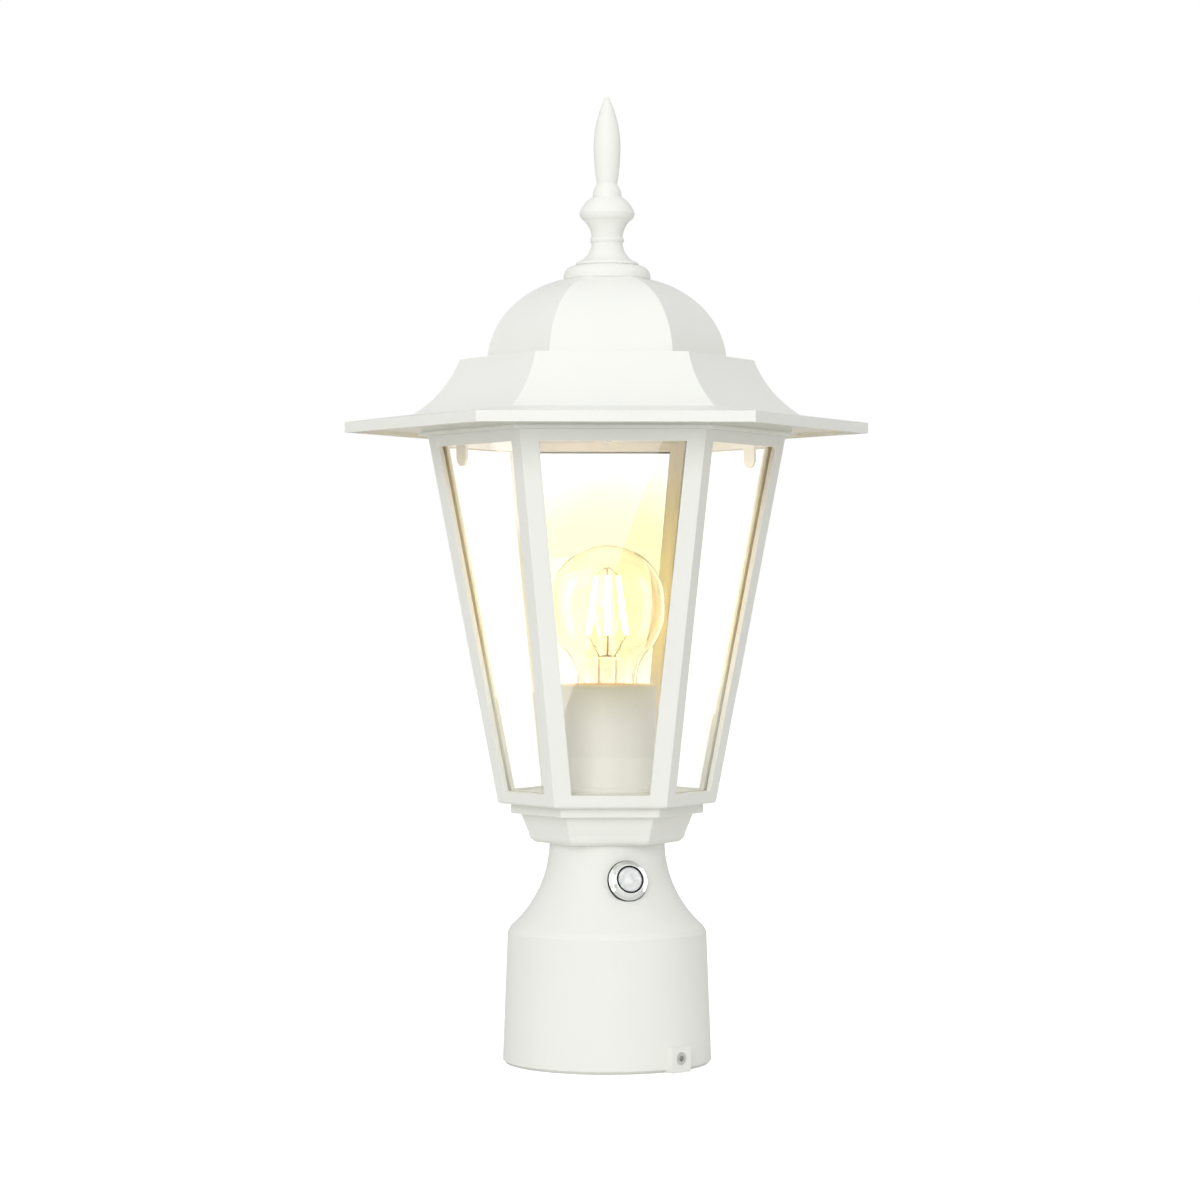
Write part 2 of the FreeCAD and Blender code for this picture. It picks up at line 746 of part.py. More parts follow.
def finial():
    """Foot, cove, bead, vase, knob, collar and spear, on one turned outline."""
    foot = FINIAL_FOOT
    edge = s.finial_foot_bevel
    bead_swell = s.bead_radius - s.waist_radius
    bead_curve = (s.bead_height * s.bead_height / 4 + bead_swell * bead_swell) / (bead_swell * 2)
    vase_depth = s.knob_radius - s.vase_radius
    vase_lift = s.knob_rise - s.vase_rise
    knob_curve = (vase_depth * vase_depth + vase_lift * vase_lift) / (vase_depth * 2)
    body = turned("finial", [
        (ZERO, foot),
        (s.finial_foot_radius - edge, foot),
        (s.finial_foot_radius, foot + edge),
        (s.finial_foot_radius - edge, foot + s.finial_foot_edge),
        (s.cove_radius, foot + s.cove_rise, -s.cove_curve),
        (s.waist_radius, foot + s.waist_rise),
        (s.waist_radius, foot + s.bead_rise, bead_curve),
        (s.waist_radius, foot + s.bead_rise + s.bead_height),
        (s.waist_radius, foot + s.vase_foot_rise, -s.vase_curve),
        (s.vase_radius, foot + s.vase_rise, knob_curve),
        (s.knob_radius, foot + s.knob_rise, s.knob_shoulder_curve),
        (s.spear_collar_radius, foot + s.spear_collar_rise),
        (s.spear_collar_radius, foot + s.spear_collar_rise + edge, s.spear_collar_curve),
        (s.spear_neck_radius, foot + s.spear_neck_rise, s.spear_flank_curve),
        (s.spear_radius, foot + s.spear_rise, s.spear_crown_curve),
        (s.point_radius, foot + s.finial_height - s.point_radius, s.point_radius),
        (ZERO, foot + s.finial_height)])
    bore = cylinder("finial_bore", s.rod_radius + s.fit, s.rod_in_finial + s.slack, foot)
    return piece("finial", cut("finial_bored", body, [bore]))


# ---------------------------------------------------------------- pipe, nuts, socket

def pipe_and_nuts():
    foot = s.neck_top - s.pipe_below
    length = FLOOR + s.pipe_above - foot
    pipe = cylinder("pipe_blank", s.pipe_radius, length, foot)
    piece("threaded_pipe", cut("pipe", pipe, [cylinder("pipe_way", s.pipe_bore, length, foot)]))
    under = s.neck_top - s.neck_roof - s.pipe_nut_thick
    lower = hex_nut("lower", s.pipe_nut_width, s.pipe_nut_thick, s.pipe_radius, under)
    piece("fitter_nut", lower)
    upper = hex_nut("upper", s.pipe_nut_width, s.pipe_nut_thick, s.pipe_radius, FLOOR)
    piece("floor_nut", upper)


SOCKET_FOOT = FLOOR + s.pipe_nut_thick
SHELL_FOOT = SOCKET_FOOT + s.socket_base
CONTACT_TOP = SHELL_FOOT + s.contact_rise
SLEEVE_TOP = FLOOR + s.sleeve_height
BULB_NECK = SLEEVE_TOP + s.bulb_neck_rise
BULB_SHOULDER = BULB_NECK + s.bulb_shoulder_rise
GLOBE = BULB_SHOULDER + s.globe_rise


def socket():
    body_radius = s.sleeve_radius - s.sleeve_wall - s.fit
    shell_outer = s.shell_radius + s.shell_wall
    top = SOCKET_FOOT + s.socket_body_height
    pipe_end = FLOOR + s.pipe_above
    body = turned("socket", [
        (s.pipe_radius, SOCKET_FOOT),
        (body_radius, SOCKET_FOOT),
        (body_radius, top),
        (shell_outer, top),
        (shell_outer, SHELL_FOOT),
        (s.pipe_bore, SHELL_FOOT),
        (s.pipe_bore, pipe_end),
        (s.pipe_radius, pipe_end)])
    piece("socket_body", body)
    shell = turned("screw_shell", [
        (s.contact_radius + s.shell_wall * 4, SHELL_FOOT),
        (shell_outer, SHELL_FOOT),
        (shell_outer, SHELL_FOOT + s.shell_height),
        (s.shell_radius, SHELL_FOOT + s.shell_height),
        (s.shell_radius, SHELL_FOOT + s.shell_wall),
        (s.contact_radius + s.shell_wall * 4, SHELL_FOOT + s.shell_wall)])
    piece("socket_shell", shell)
    contact = turned("centre_contact", [
        (ZERO, SHELL_FOOT),
        (s.contact_radius, SHELL_FOOT),
        (s.contact_radius, SHELL_FOOT + s.shell_wall),
        (s.tip_radius, SHELL_FOOT + s.shell_wall),
        (s.tip_radius, CONTACT_TOP),
        (ZERO, CONTACT_TOP)])
    piece("socket_contact", contact)

    inner = s.sleeve_radius - s.sleeve_wall
    bevel = s.sleeve_bevel
    ring_radius = s.sleeve_radius + s.sleeve_ring
    ring_top = FLOOR + s.sleeve_ring_height
    sleeve = turned("sleeve", [
        (inner, FLOOR),
        (ring_radius, FLOOR),
        (ring_radius, ring_top),
        (s.sleeve_radius, ring_top),
        (s.sleeve_radius, SLEEVE_TOP - bevel),
        (s.sleeve_radius - bevel, SLEEVE_TOP),
        (s.sleeve_mouth, SLEEVE_TOP),
        (s.sleeve_mouth, SLEEVE_TOP - s.sleeve_lip),
        (inner, SLEEVE_TOP - s.sleeve_lip)])
    piece("socket_sleeve", sleeve)


# ---------------------------------------------------------------- bulb

def bulb():
    tip_foot = CONTACT_TOP + s.tip_gap
    tip_top = tip_foot + s.tip_thick
    insulator_top = tip_top + s.insulator_rise
    cap_inner = s.cap_shell_radius - s.cap_shell_wall
    cap_top = insulator_top + s.cap_shell_height
    piece("bulb_tip", cylinder("tip", s.tip_radius, s.tip_thick, tip_foot))
    insulator = turned("insulator", [
        (ZERO, tip_top),
        (s.tip_radius, tip_top),
        (cap_inner, insulator_top),
        (cap_inner, insulator_top + s.tip_thick),
        (ZERO, insulator_top + s.tip_thick)])
    piece("bulb_insulator", insulator)
    cap = turned("bulb_cap_shell", [
        (cap_inner, insulator_top),
        (s.cap_shell_radius, insulator_top),
        (s.cap_shell_radius, cap_top),
        (cap_inner, cap_top)])
    piece("bulb_cap", cap)

    wall = s.glass_wall
    top = GLOBE + s.globe_radius
    foot = insulator_top + s.tip_thick * 2
    neck = s.bulb_neck_radius
    lower = s.bulb_shoulder_radius
    glass = turned("envelope", [
        (neck - wall, foot),
        (neck, foot),
        (neck, BULB_NECK, -s.globe_radius * 0.75),
        (lower, BULB_SHOULDER, s.globe_radius * 1.15),
        (s.globe_radius, GLOBE, s.globe_radius),
        (ZERO, top),
        (ZERO, top - wall, -(s.globe_radius - wall)),
        (s.globe_radius - wall, GLOBE, -(s.globe_radius * 1.15 - wall)),
        (lower - wall, BULB_SHOULDER, s.globe_radius * 0.75 + wall),
        (neck - wall, BULB_NECK)])
    piece("bulb_glass", glass)

    stem_foot = foot + s.tip_thick
    stem_top = GLOBE - s.stem_below
    mast_top = GLOBE + s.mast_above
    stick_foot = GLOBE - s.stick_below
    stick_top = GLOBE + s.stick_above
    stem = turned("stem", [
        (ZERO, stem_foot),
        (s.stem_foot_radius, stem_foot),
        (s.stem_radius, stem_foot + s.stem_foot_rise),
        (s.stem_radius, stem_top),
        (s.mast_radius, stem_top + s.mast_radius),
        (s.mast_radius, mast_top),
        (ZERO, mast_top)])
    piece("bulb_stem", stem)

    sticks = []
    wires = []
    for index in range(int(s.stick_count.value)):
        turn = FreeCAD.Rotation(UP, 360 * index / s.stick_count.value)
        low = turn.multVec(FreeCAD.Vector(s.stick_foot_reach.value, 0, stick_foot.value))
        high = turn.multVec(FreeCAD.Vector(s.stick_top_reach.value, 0, stick_top.value))
        sticks.append(strut(f"stick_{index}", low, high, s.stick_radius))
        mast = turn.multVec(FreeCAD.Vector(s.mast_radius.value, 0, mast_top.value - s.mast_radius.value))
        wires.append(strut(f"upper_wire_{index}", high, mast, s.wire_radius))
        stem_edge = FreeCAD.Vector(s.stem_radius.value * 0.6, 0, stem_top.value)
        wires.append(strut(f"lower_wire_{index}", turn.multVec(stem_edge), low, s.wire_radius))
    piece("bulb_light_sticks", bundle("light_sticks", sticks))
    piece("bulb_wires", cut("support_wires", bundle("wires", wires), [stem] + sticks))


def strut(name, start, end, radius):
    """A round rod from one point to another."""
    rod = doc.addObject("Part::Cylinder", name)
    bind(rod, "Radius", radius)
    rod.Height = (end - start).Length
    rod.Placement = FreeCAD.Placement(start, FreeCAD.Rotation(UP, end - start))
    return rod


# ---------------------------------------------------------------- build and export

post_fitter()
set_screws()
sensor()
base_gallery()
cage_frame()
glass_panels()
roof()
cap_plate()
tie_rod()
finial()
pipe_and_nuts()
socket()
bulb()
doc.recompute()

for thing in doc.Objects:
    if "Invalid" in thing.State or "Error" in thing.State:
        raise RuntimeError(f"{thing.Name} failed: {thing.State}")
for name, thing in pieces.items():
    if thing.Shape.isNull() or not thing.Shape.isValid() or not thing.Shape.Solids:
        raise RuntimeError(f"{name} has no valid solid")

os.makedirs("parts", exist_ok=True)
for name, thing in pieces.items():
    thing.Shape.exportStep(f"parts/{name}.step")
    shape = thing.Shape
    print(f"{name:20s} {len(shape.Solids)} solid(s) {shape.Volume:12.1f} mm3")
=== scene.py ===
import math

import bmesh
import bpy
from mathutils import Matrix, Vector


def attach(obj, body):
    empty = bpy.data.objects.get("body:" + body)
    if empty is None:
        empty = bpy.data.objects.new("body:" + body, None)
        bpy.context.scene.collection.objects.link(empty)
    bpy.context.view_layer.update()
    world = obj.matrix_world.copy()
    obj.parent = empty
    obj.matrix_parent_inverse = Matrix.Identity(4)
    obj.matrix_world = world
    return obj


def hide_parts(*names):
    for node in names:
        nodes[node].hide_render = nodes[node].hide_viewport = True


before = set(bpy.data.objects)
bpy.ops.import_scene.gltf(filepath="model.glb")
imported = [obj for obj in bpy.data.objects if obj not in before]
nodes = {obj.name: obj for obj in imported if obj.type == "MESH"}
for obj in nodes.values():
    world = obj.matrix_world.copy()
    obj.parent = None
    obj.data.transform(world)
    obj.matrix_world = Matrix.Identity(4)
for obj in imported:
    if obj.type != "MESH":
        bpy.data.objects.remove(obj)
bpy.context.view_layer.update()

MM = 0.001
BULB_CENTRE = 188.7 * MM       # height of the globe's widest ring
PAINTED_GLOW_CENTRE = 198 * MM         # of the painted glow round it, on the panes


# ---------------------------------------------------------------- camera

# The photograph is taken level, 189 mm above the lantern's foot, with a long lens.
CAMERA_DISTANCE = 1435 * MM
CAMERA_HEIGHT = 189 * MM
CAMERA_AZIMUTH = math.radians(-2.0)
CAMERA_LENS = 105.0            # on a 36 mm frame
AXIS_OFFSET = 2.9 * MM         # the lantern's axis stands this far right of the middle


def place_camera():
    """A level camera in front of the lantern, a touch to its left."""
    data = bpy.data.cameras.new("camera")
    data.lens = CAMERA_LENS
    data.sensor_width = 36.0
    data.clip_start = 0.05
    camera = bpy.data.objects.new("camera", data)
    bpy.context.scene.collection.objects.link(camera)
    turn = Matrix.Rotation(CAMERA_AZIMUTH, 4, "Z")
    stand = Matrix.Translation((-AXIS_OFFSET, -CAMERA_DISTANCE, CAMERA_HEIGHT))
    camera.matrix_world = turn @ stand @ Matrix.Rotation(math.radians(90), 4, "X")
    bpy.context.scene.camera = camera


# ---------------------------------------------------------------- nodes and colours

def linear(hex_colour):
    """An sRGB hex colour as linear light, with an alpha of 1."""
    parts = [int(hex_colour[i:i + 2], 16) / 255 for i in (1, 3, 5)]
    parts = [c / 12.92 if c <= 0.04045 else ((c + 0.055) / 1.055) ** 2.4 for c in parts]
    return (*parts, 1.0)


def add_node(tree, kind, settings=None, **links):
    """Adds a node; settings are its properties, links its sockets' values or sources.

    A link is named after its socket, or i and a number for the input of that number.
    """
    node = tree.nodes.new(kind)
    for name, value in (settings or {}).items():
        setattr(node, name, value)
    for name, value in links.items():
        numbered = name[0] == "i" and name[1:].isdigit()
        socket = node.inputs[int(name[1:]) if numbered else name.replace("_", " ")]
        if isinstance(value, bpy.types.NodeSocket):
            tree.links.new(value, socket)
        else:
            socket.default_value = value
    return node


def new_material(name):
    """An empty material: its node tree, its surface shader and its output."""
    material = bpy.data.materials.new(name)
    material.use_nodes = True
    tree = material.node_tree
    tree.nodes.clear()
    output = tree.nodes.new("ShaderNodeOutputMaterial")
    shader = tree.nodes.new("ShaderNodeBsdfPrincipled")
    tree.links.new(shader.outputs["BSDF"], output.inputs["Surface"])
    return material, tree, shader, output


def set_shader(shader, **values):
    for name, value in values.items():
        shader.inputs[name.replace("_", " ")].default_value = value


def object_place(tree):
    return tree.nodes.new("ShaderNodeTexCoord").outputs["Object"]


def colour_mix(tree, factor, low, high):
    """The colour between two hex colours that the factor picks."""
    mix = add_node(tree, "ShaderNodeMix", {"data_type": "RGBA"}, Factor=factor,
                   i6=linear(low), i7=linear(high))
    return mix.outputs[2]


def grained(tree, shader, noise, low, high, strength, depth):
    """Roughness between low and high and a fine bump, both from the same noise."""
    gloss = add_node(tree, "ShaderNodeMapRange", Value=noise.outputs["Fac"],
                     To_Min=low, To_Max=high)
    bump = add_node(tree, "ShaderNodeBump", Strength=strength, Distance=depth,
                    Height=noise.outputs["Fac"])
    tree.links.new(gloss.outputs["Result"], shader.inputs["Roughness"])
    tree.links.new(bump.outputs["Normal"], shader.inputs["Normal"])


# ---------------------------------------------------------------- materials

COAT_GRAIN = 1.1 * MM          # powder coat's orange peel, drawn coarser than life
COAT_CLOUD = 22 * MM           # size of its faint changes of tint
PLASTIC_GRAIN = 1.4 * MM
METAL_GRAIN = 0.5 * MM
LENS_CLOUD = 2.4 * MM
STICK_GLOW = 12.0

# How much studio light a pane lets on to the cage's inside: nearly all of it low down,
# and less high up, where the brim shades it. The front and back panes let on least.
PANE_SHARE = "#FAFAF6"
SIDE_SHADE = "#EFE8D6"
FRONT_SHADE = "#5C4618"
SHADE_LEVELS = (142 * MM, 190 * MM)


def powder_coat():
    """White polyester powder coat on cast aluminium: satin and faintly pebbled."""
    material, tree, shader, _ = new_material("powder_coat")
    place = object_place(tree)
    cloud = add_node(tree, "ShaderNodeTexNoise", Vector=place, Scale=0.5 / COAT_CLOUD,
                     Detail=3.0)
    tint = colour_mix(tree, cloud.outputs["Fac"], "#EEEFE9", "#F4F5F0")
    tree.links.new(tint, shader.inputs["Base Color"])
    peel = add_node(tree, "ShaderNodeTexNoise", Vector=place, Scale=0.5 / COAT_GRAIN,
                    Detail=2.0)
    grained(tree, shader, peel, 0.32, 0.44, strength=0.10, depth=0.05 * MM)
    set_shader(shader, IOR=1.5)
    return material


def clear_glass(name, colour, share, ior=1.5, tint=None, glow=None, shade=None):
    """Clear glass. Lamps shine through it: of their light the given share passes on.

    A tint is (colour, inner, outer), a painted glow of the lit bulb on the glass: seen from
    the front it is full up to the inner radius round the bulb and gone at the outer one.
    A glow is (colour, strength), a painted glow that the glass gives off itself.
    A shade is the share of light that passes high up.
    """
    material, tree, shader, output = new_material(name)
    set_shader(shader, Base_Color=linear(colour), IOR=ior, Roughness=0.0,
               Transmission_Weight=1.0)
    # Painted glow: the glass's colour turns warm round the lit bulb.
    if tint:
        painted_glow_colour, inner, outer = tint
        flat = add_node(tree, "ShaderNodeVectorMath", {"operation": "MULTIPLY"},
                        i0=object_place(tree), i1=(1, 0, 1))
        near = add_node(tree, "ShaderNodeVectorMath", {"operation": "DISTANCE"},
                        i0=flat.outputs["Vector"], i1=(0, 0, PAINTED_GLOW_CENTRE))
        fade = add_node(tree, "ShaderNodeMapRange", {"interpolation_type": "SMOOTHSTEP"},
                        Value=near.outputs["Value"], From_Min=inner, From_Max=outer,
                        To_Min=1.0, To_Max=0.0)
        glow_painted = colour_mix(tree, fade.outputs["Result"], colour, painted_glow_colour)
        tree.links.new(glow_painted, shader.inputs["Base Color"])
    # The glow is painted light that the glass gives off itself.
    if glow:
        painted_glass_glow, strength = glow
        set_shader(shader, Emission_Color=linear(painted_glass_glow), Emission_Strength=strength)
    ray = tree.nodes.new("ShaderNodeLightPath")
    passes = add_node(tree, "ShaderNodeMath", {"operation": "MAXIMUM"},
                      i0=ray.outputs["Is Shadow Ray"], i1=ray.outputs["Is Diffuse Ray"])
    through = add_node(tree, "ShaderNodeBsdfTransparent", Color=linear(share))
    if shade:
        apart = add_node(tree, "ShaderNodeSeparateXYZ", Vector=object_place(tree))
        high = add_node(tree, "ShaderNodeMapRange", {"interpolation_type": "SMOOTHSTEP"},
                        Value=apart.outputs["Z"], From_Min=SHADE_LEVELS[0],
                        From_Max=SHADE_LEVELS[1])
        lets_on = colour_mix(tree, high.outputs["Result"], share, shade)
        tree.links.new(lets_on, through.inputs["Color"])
    mix = tree.nodes.new("ShaderNodeMixShader")
    tree.links.new(passes.outputs[0], mix.inputs[0])
    tree.links.new(shader.outputs["BSDF"], mix.inputs[1])
    tree.links.new(through.outputs["BSDF"], mix.inputs[2])
    tree.links.new(mix.outputs["Shader"], output.inputs["Surface"])
    return material


def moulded(name, colour, roughness):
    """Moulded plastic or rubber: even colour, a gloss that wanders a little."""
    material, tree, shader, _ = new_material(name)
    noise = add_node(tree, "ShaderNodeTexNoise", Vector=object_place(tree),
                     Scale=0.5 / PLASTIC_GRAIN, Detail=2.0)
    grained(tree, shader, noise, roughness - 0.08, roughness + 0.08,
            strength=0.12, depth=0.03 * MM)
    set_shader(shader, Base_Color=linear(colour), IOR=1.49)
    return material


def worked_metal(name, colour, roughness, stretch=(1, 1, 1)):
    """Bare or plated metal with the fine lines that drawing or turning leaves."""
    material, tree, shader, _ = new_material(name)
    lie = add_node(tree, "ShaderNodeMapping", Vector=object_place(tree), Scale=stretch)
    noise = add_node(tree, "ShaderNodeTexNoise", Vector=lie.outputs["Vector"],
                     Scale=0.5 / METAL_GRAIN, Detail=3.0)
    grained(tree, shader, noise, roughness * 0.75, roughness * 1.3,
            strength=0.12, depth=0.02 * MM)
    set_shader(shader, Base_Color=linear(colour), Metallic=1.0)
    return material


def mirror_metal(name, colour):
    """Polished plating: a mirror."""
    material, tree, shader, _ = new_material(name)
    set_shader(shader, Base_Color=linear(colour), Metallic=1.0, Roughness=0.0)
    return material


def pearl_lens():
    """The sensor's lens: milky acrylic under a clear, glossy skin."""
    material, tree, shader, _ = new_material("lens_acrylic")
    cloud = add_node(tree, "ShaderNodeTexNoise", Vector=object_place(tree),
                     Scale=0.5 / LENS_CLOUD, Detail=2.0, Distortion=1.2)
    milk = add_node(tree, "ShaderNodeMapRange", Value=cloud.outputs["Fac"], From_Min=0.35,
                    From_Max=0.65)
    tint = colour_mix(tree, milk.outputs["Result"], "#E0E6E5", "#FEFFFF")
    tree.links.new(tint, shader.inputs["Base Color"])
    set_shader(shader, IOR=1.49, Roughness=0.0, Transmission_Weight=0.1)
    return material


def lit_phosphor():
    """A light stick's phosphor coat, lit: a warm white that glows evenly."""
    material, tree, shader, _ = new_material("lit_phosphor")
    set_shader(shader, Base_Color=linear("#F2C66A"), Roughness=0.6,
               Emission_Color=linear("#FFF0C0"), Emission_Strength=STICK_GLOW)
    return material


coat = powder_coat()
# Both kinds of pane carry a painted glow of the lit bulb, warmest on the front and back
# panes.
pane = clear_glass("float_glass", "#FEFEFD", PANE_SHARE,
                   tint=("#FFFFF3", 20 * MM, 90 * MM), shade=SIDE_SHADE)
glow_painted_pane = clear_glass("float_glass_glow_painted", "#FEFEFD", PANE_SHARE,
                        tint=("#FFFEDC", 24 * MM, 60 * MM), shade=FRONT_SHADE)
# The lamp glass has a faint painted glow of its own.
amber = clear_glass("lamp_glass", "#FFF8F5", "#FFFDF4", ior=1.47, glow=("#FFE9C8", 0.02))
sleeve = moulded("candle_sleeve", "#F5F5F3", 0.42)
chrome = mirror_metal("chrome_plate", "#F2F4F4")
seal = moulded("seal_rubber", "#101011", 0.55)
dome = pearl_lens()
barrel = moulded("black_nylon", "#151516", 0.45)
cell = moulded("photocell", "#EEF0EF", 0.3)
bright = worked_metal("bright_zinc", "#F4F4F0", 0.5)
zinc = worked_metal("zinc_plate", "#C4C4C0", 0.30)
drawn = worked_metal("drawn_aluminium", "#CFCFCC", 0.26, stretch=(1, 1, 6))
brass = worked_metal("spring_brass", "#C9A25A", 0.28)
phenolic = moulded("phenolic", "#2A2522", 0.5)
vitrite = moulded("black_vitrite", "#0C0B0E", 0.15)
nickel = worked_metal("nickel_wire", "#B5ADA0", 0.3)
phosphor = lit_phosphor()

FINISHES = [
    (coat, ["post_fitter", "base_gallery", "cage_frame", "roof", "cap_plate", "finial"]),
    (glow_painted_pane, ["glass_panel_1", "glass_panel_4"]),
    (pane, ["glass_panel_2", "glass_panel_3", "glass_panel_5", "glass_panel_6"]),
    (amber, ["bulb_glass", "bulb_stem"]),
    (sleeve, ["socket_sleeve"]),
    (chrome, ["sensor_bezel"]),
    (seal, ["sensor_gasket"]),
    (dome, ["sensor_lens"]),
    (barrel, ["sensor_barrel"]),
    (cell, ["sensor_cell"]),
    (zinc, ["sensor_nut", "tie_rod", "rod_nut", "threaded_pipe", "fitter_nut",
            "floor_nut"]),
    (bright, ["set_screw_1", "set_screw_2"]),
    (drawn, ["bulb_cap", "socket_shell"]),
    (brass, ["socket_contact", "bulb_tip"]),
    (phenolic, ["socket_body"]),
    (vitrite, ["bulb_insulator"]),
    (nickel, ["bulb_wires"]),
    (phosphor, ["bulb_light_sticks"]),
]


def dress_nodes():
    for material, names in FINISHES:
        for name in names:
            mesh = nodes[name].data
            mesh.materials.clear()
            mesh.materials.append(material)


# ---------------------------------------------------------------- pieces

def add_piece(name, form, material):
    """Turns a finished bmesh into an object that stands at the origin."""
    mesh = bpy.data.meshes.new(name)
    form.to_mesh(mesh)
    form.free()
    mesh.materials.append(material)
    thing = bpy.data.objects.new(name, mesh)
    bpy.context.scene.collection.objects.link(thing)
    return thing


SHARP_EDGE = math.radians(12.0)    # flatter edges than this are part of a curve
FLAT_JOIN = math.radians(0.3)      # faces this close to level become one
SAME_POINT = 0.002 * MM


def softened(node_name, body, width):
    """A node's own shape with rounded edges and smooth curves; it takes the node's place.

    The width is that of the rounded edge; with 0 the edges stay as they are.
    """
    source = nodes[node_name].data
    form = bmesh.new()
    form.from_mesh(source)
    bmesh.ops.remove_doubles(form, verts=form.verts, dist=SAME_POINT)
    bmesh.ops.dissolve_limit(form, angle_limit=FLAT_JOIN, verts=form.verts,
                             edges=form.edges)
    for face in form.faces:
        face.smooth = True
    for edge in form.edges:
        if len(edge.link_faces) == 2 and edge.calc_face_angle() > SHARP_EDGE:
            edge.smooth = False
    thing = add_piece(node_name + "_soft", form, source.materials[0])
    if width:
        bevel = thing.modifiers.new("soft_edge", "BEVEL")
        bevel.width = width
        bevel.segments = 2
        bevel.limit_method = "ANGLE"
        bevel.angle_limit = SHARP_EDGE
        bevel.use_clamp_overlap = True
        bevel.harden_normals = True
    weighted = thing.modifiers.new("large_faces_lead", "WEIGHTED_NORMAL")
    weighted.keep_sharp = True
    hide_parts(node_name)
    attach(thing, body)


def cast_pieces():
    softened("post_fitter", "lantern", 0.4 * MM)
    softened("base_gallery", "lantern", 0.5 * MM)
    softened("cage_frame", "lantern", 0.4 * MM)
    softened("roof", "roof", 0.45 * MM)
    softened("finial", "finial", 0.2 * MM)
    softened("socket_sleeve", "lantern", 0.35 * MM)
    softened("sensor_bezel", "lantern", 0.15 * MM)
    softened("sensor_lens", "lantern", 0)
    softened("bulb_glass", "bulb", 0)


# The sensor's axis, as the part's source has it.
SENSOR_TURN = math.radians(-74.5)
SENSOR_TILT = math.radians(16.0)
SENSOR_REACH = 26.2 * MM
SENSOR_HEIGHT = 75.5 * MM

WASHER_RADIUS = 8.05 * MM      # of the ring's middle line
WASHER_THICK = 0.4 * MM        # radius of the ring's own section
WASHER_OUT = 0.85 * MM         # its middle, outward along the sensor's axis


def sensor_washer():
    """The rubber ring that the bezel's flange squeezes against the neck. Its black also draws
    the thin dark line round the flange's foot: partly a washer, partly painted shade.
    """
    form = bmesh.new()
    ring = bmesh.ops.create_circle(form, segments=10, radius=WASHER_THICK)["verts"]
    bmesh.ops.rotate(form, verts=ring, matrix=Matrix.Rotation(math.radians(90), 3, "X"))
    bmesh.ops.translate(form, verts=ring, vec=(WASHER_RADIUS, 0, WASHER_OUT))
    bmesh.ops.spin(form, geom=form.verts[:] + form.edges[:], cent=(0, 0, 0), axis=(0, 0, 1),
                   angle=math.tau, steps=64, use_merge=True)
    bmesh.ops.recalc_face_normals(form, faces=form.faces)
    for face in form.faces:
        face.smooth = True
    place = (Matrix.Rotation(SENSOR_TURN, 4, "Z")
             @ Matrix.Translation((SENSOR_REACH, 0, SENSOR_HEIGHT))
             @ Matrix.Rotation(math.radians(90) - SENSOR_TILT, 4, "Y"))
    bmesh.ops.transform(form, matrix=place, verts=form.verts)
    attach(add_piece("sensor_washer", form, seal), "lantern")


# ---------------------------------------------------------------- studio

def flat_card(name, corners, material):
    """A flat card through the given corners."""
    form = bmesh.new()
    form.faces.new([form.verts.new(corner) for corner in corners])
    card = add_piece(name, form, material)
    return card


def glowing(name, colour, strength):
    """A lit card that only mirror-smooth surfaces pick up."""
    material, tree, shader, _ = new_material(name)
    ray = tree.nodes.new("ShaderNodeLightPath")
    level = add_node(tree, "ShaderNodeMath", {"operation": "MULTIPLY"},
                     i0=ray.outputs["Is Singular Ray"], i1=strength)
    tree.links.new(level.outputs[0], shader.inputs["Emission Strength"])
    set_shader(shader, Base_Color=(0, 0, 0, 1), Emission_Color=linear(colour))
    return material


def only_reflected(card):
    """Keeps a card out of everything but reflections."""
    card.visible_camera = False
    card.visible_diffuse = False
    card.visible_transmission = False
    card.visible_shadow = False
    card.visible_volume_scatter = False


FLOOR_LEVEL = -0.2 * MM
FLOOR_REACH = 6.0
FLOOR_GLOW = 0.66              # with the lamps' light on it, the floor comes out white
FLOOR_GLOW_THROUGH_GLASS = 0.6


def pale_floor():
    """A floor that looks white, and keeps a soft shadow."""
    material, tree, shader, output = new_material("floor_white")
    set_shader(shader, Base_Color=linear("#E6E6E3"), Roughness=0.9)
    ray = tree.nodes.new("ShaderNodeLightPath")
    behind = add_node(tree, "ShaderNodeMapRange", Value=ray.outputs["Is Transmission Ray"],
                      To_Min=0.0, To_Max=FLOOR_GLOW_THROUGH_GLASS)
    strength = add_node(tree, "ShaderNodeMapRange", Value=ray.outputs["Is Camera Ray"],
                        To_Min=behind.outputs["Result"], To_Max=FLOOR_GLOW)
    glow = add_node(tree, "ShaderNodeEmission", Color=linear("#FFFFFF"),
                    Strength=strength.outputs[0])
    both = tree.nodes.new("ShaderNodeAddShader")
    tree.links.new(shader.outputs["BSDF"], both.inputs[0])
    tree.links.new(glow.outputs["Emission"], both.inputs[1])
    tree.links.new(both.outputs["Shader"], output.inputs["Surface"])
    far = FLOOR_REACH
    flat_card("floor", [(x, y, FLOOR_LEVEL) for x, y in
                        ((-far, -far), (far, -far), (far, far), (-far, far))], material)


AMBIENT = 0.73                 # on matte surfaces
GLOSSY_AMBIENT = 0.5           # in satin ones; mirrors and clear glass show 1
SEEN_THROUGH_GLASS = 1.25      # makes up for what the panes turn away


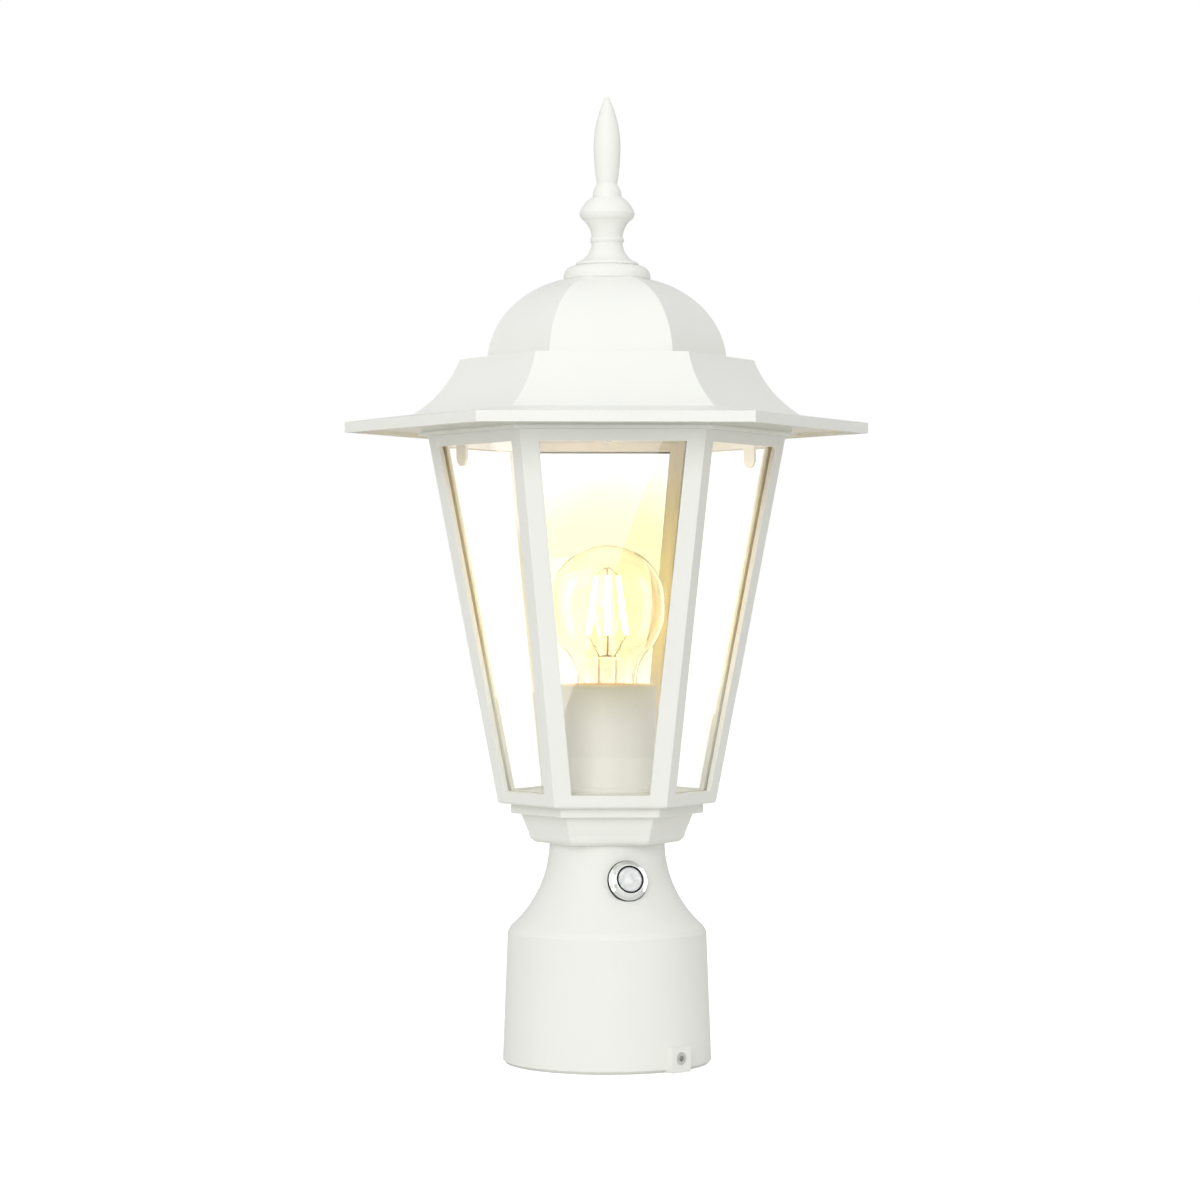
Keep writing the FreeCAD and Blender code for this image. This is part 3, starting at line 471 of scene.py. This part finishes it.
def white_world():
    """A white room: it looks white, and lights the lantern evenly from all round."""
    world = bpy.data.worlds.new("white_room")
    world.use_nodes = True
    tree = world.node_tree
    tree.nodes.clear()
    ray = tree.nodes.new("ShaderNodeLightPath")
    mirrored = add_node(tree, "ShaderNodeMapRange", Value=ray.outputs["Is Singular Ray"],
                        To_Min=GLOSSY_AMBIENT, To_Max=1.0)
    room = add_node(tree, "ShaderNodeMapRange", Value=ray.outputs["Is Glossy Ray"],
                    To_Min=AMBIENT, To_Max=mirrored.outputs["Result"])
    behind = add_node(tree, "ShaderNodeMapRange", Value=ray.outputs["Is Transmission Ray"],
                      To_Min=room.outputs["Result"], To_Max=SEEN_THROUGH_GLASS)
    strength = add_node(tree, "ShaderNodeMapRange", Value=ray.outputs["Is Camera Ray"],
                        To_Min=behind.outputs["Result"], To_Max=1.0)
    light = add_node(tree, "ShaderNodeBackground", Color=linear("#FFFFFF"),
                     Strength=strength.outputs["Result"])
    output = tree.nodes.new("ShaderNodeOutputWorld")
    tree.links.new(light.outputs["Background"], output.inputs["Surface"])
    bpy.context.scene.world = world


def add_lamp(name, data, place, power, colour):
    data.energy = power
    data.color = linear(colour)[:3]
    lamp = bpy.data.objects.new(name, data)
    bpy.context.scene.collection.objects.link(lamp)
    lamp.location = place
    return lamp


def area_lamp(name, place, target, wide, high, power, colour="#FFFFFF"):
    """A flat lamp that faces its target. It gives no sheen.

    Grazing sheen would burn the front faces out when they are seen from behind.
    """
    data = bpy.data.lights.new(name, "AREA")
    data.shape = "RECTANGLE"
    data.size = wide
    data.size_y = high
    lamp = add_lamp(name, data, place, power, colour)
    lamp.rotation_euler = (Vector(target) - Vector(place)).to_track_quat("-Z", "Y").to_euler()
    lamp.visible_glossy = False
    return lamp


def keep_from_sight(lamp):
    """A lamp in the cage lights surfaces, and is not seen, also not through glass."""
    lamp.visible_camera = False
    lamp.visible_glossy = False
    lamp.visible_transmission = False


SIDES = (("left", -1), ("right", 1))


def room_lamps():
    """The key lamp in front, left and high, and one from above on each side."""
    middle = (0, 0, 0.2)
    area_lamp("key_lamp", (-0.45, -1.87, 0.8), middle, 1.0, 1.0, 13.2)
    for name, side in SIDES:
        area_lamp(f"{name}_lamp", (side * 0.8, -0.25, 1.9), middle, 0.8, 0.8, 1.8)


def cage_lamps():
    """The lit bulb's light on the inside of the cage, and what is thrown back from it."""
    data = bpy.data.lights.new("bulb_light", "POINT")
    data.shadow_soft_size = 9 * MM
    keep_from_sight(add_lamp("bulb_light", data, (0, 0, BULB_CENTRE), 0.03, "#FFAE1A"))
    for name, side in SIDES:
        keep_from_sight(area_lamp(f"{name}_post_lamp", (side * 0.030, 0, 0.195),
                                  (side * 0.06, 0, 0.19), 0.02, 0.08, 0.009, "#FFFFF4"))
    keep_from_sight(area_lamp("ceiling_lamp", (-0.008, -0.004, 0.238), (-0.008, 0.0, 0.30),
                              0.06, 0.06, 0.018, "#F6F0FF"))


TABLE_LEVEL = 0.001
TABLE_NEAR = -0.36             # the front table's edges, along Y
TABLE_FAR = -1.05
TABLE_SIDE = 0.9
# Where the bright part of the front table meets the dark part. The front pane mirrors
# this line as the diagonal in the photograph.
TABLE_SPLIT_NEAR = (-0.0182, TABLE_NEAR, TABLE_LEVEL)
TABLE_SPLIT_FAR = (0.0857, TABLE_FAR, TABLE_LEVEL)


def mirrored_cards():
    """What chrome and clear glass mirror. Every card stands outside the lantern."""
    veil = glowing("veil_light", "#FFF8F0", 4.2)
    only_reflected(flat_card("veil_card", [
        TABLE_SPLIT_NEAR, (-TABLE_SIDE, TABLE_NEAR, TABLE_LEVEL),
        (-TABLE_SIDE, TABLE_FAR, TABLE_LEVEL), TABLE_SPLIT_FAR], veil))
    dark = glowing("dark_table_light", "#000000", 0.0)
    only_reflected(flat_card("dark_card", [
        TABLE_SPLIT_NEAR, TABLE_SPLIT_FAR, (TABLE_SIDE, TABLE_FAR, TABLE_LEVEL),
        (TABLE_SIDE, TABLE_NEAR, TABLE_LEVEL)], dark))
    table = glowing("side_table_light", "#FFFDF8", 2.2)
    box = glowing("bulb_box_light", "#FFFFFF", 3.4)
    for name, side in SIDES:
        only_reflected(flat_card(f"side_table_{name}", [
            (side * 0.7, -0.4, TABLE_LEVEL), (side * 2.6, -0.4, TABLE_LEVEL),
            (side * 2.6, 1.6, TABLE_LEVEL), (side * 0.7, 1.6, TABLE_LEVEL)], table))
        card = flat_card(f"bulb_box_{name}", [
            (side * 0.3, -0.086, 0.01), (side * 0.3, 0.11, 0.01),
            (side * 0.3, 0.11, 0.42), (side * 0.3, -0.086, 0.42)], box)
        only_reflected(card)
        # The bulb mirrors the box, and is seen through a pane.
        card.visible_transmission = True


place_camera()
dress_nodes()
cast_pieces()
sensor_washer()
white_world()
pale_floor()
room_lamps()
cage_lamps()
mirrored_cards()
bpy.context.scene.view_settings.view_transform = "Standard"
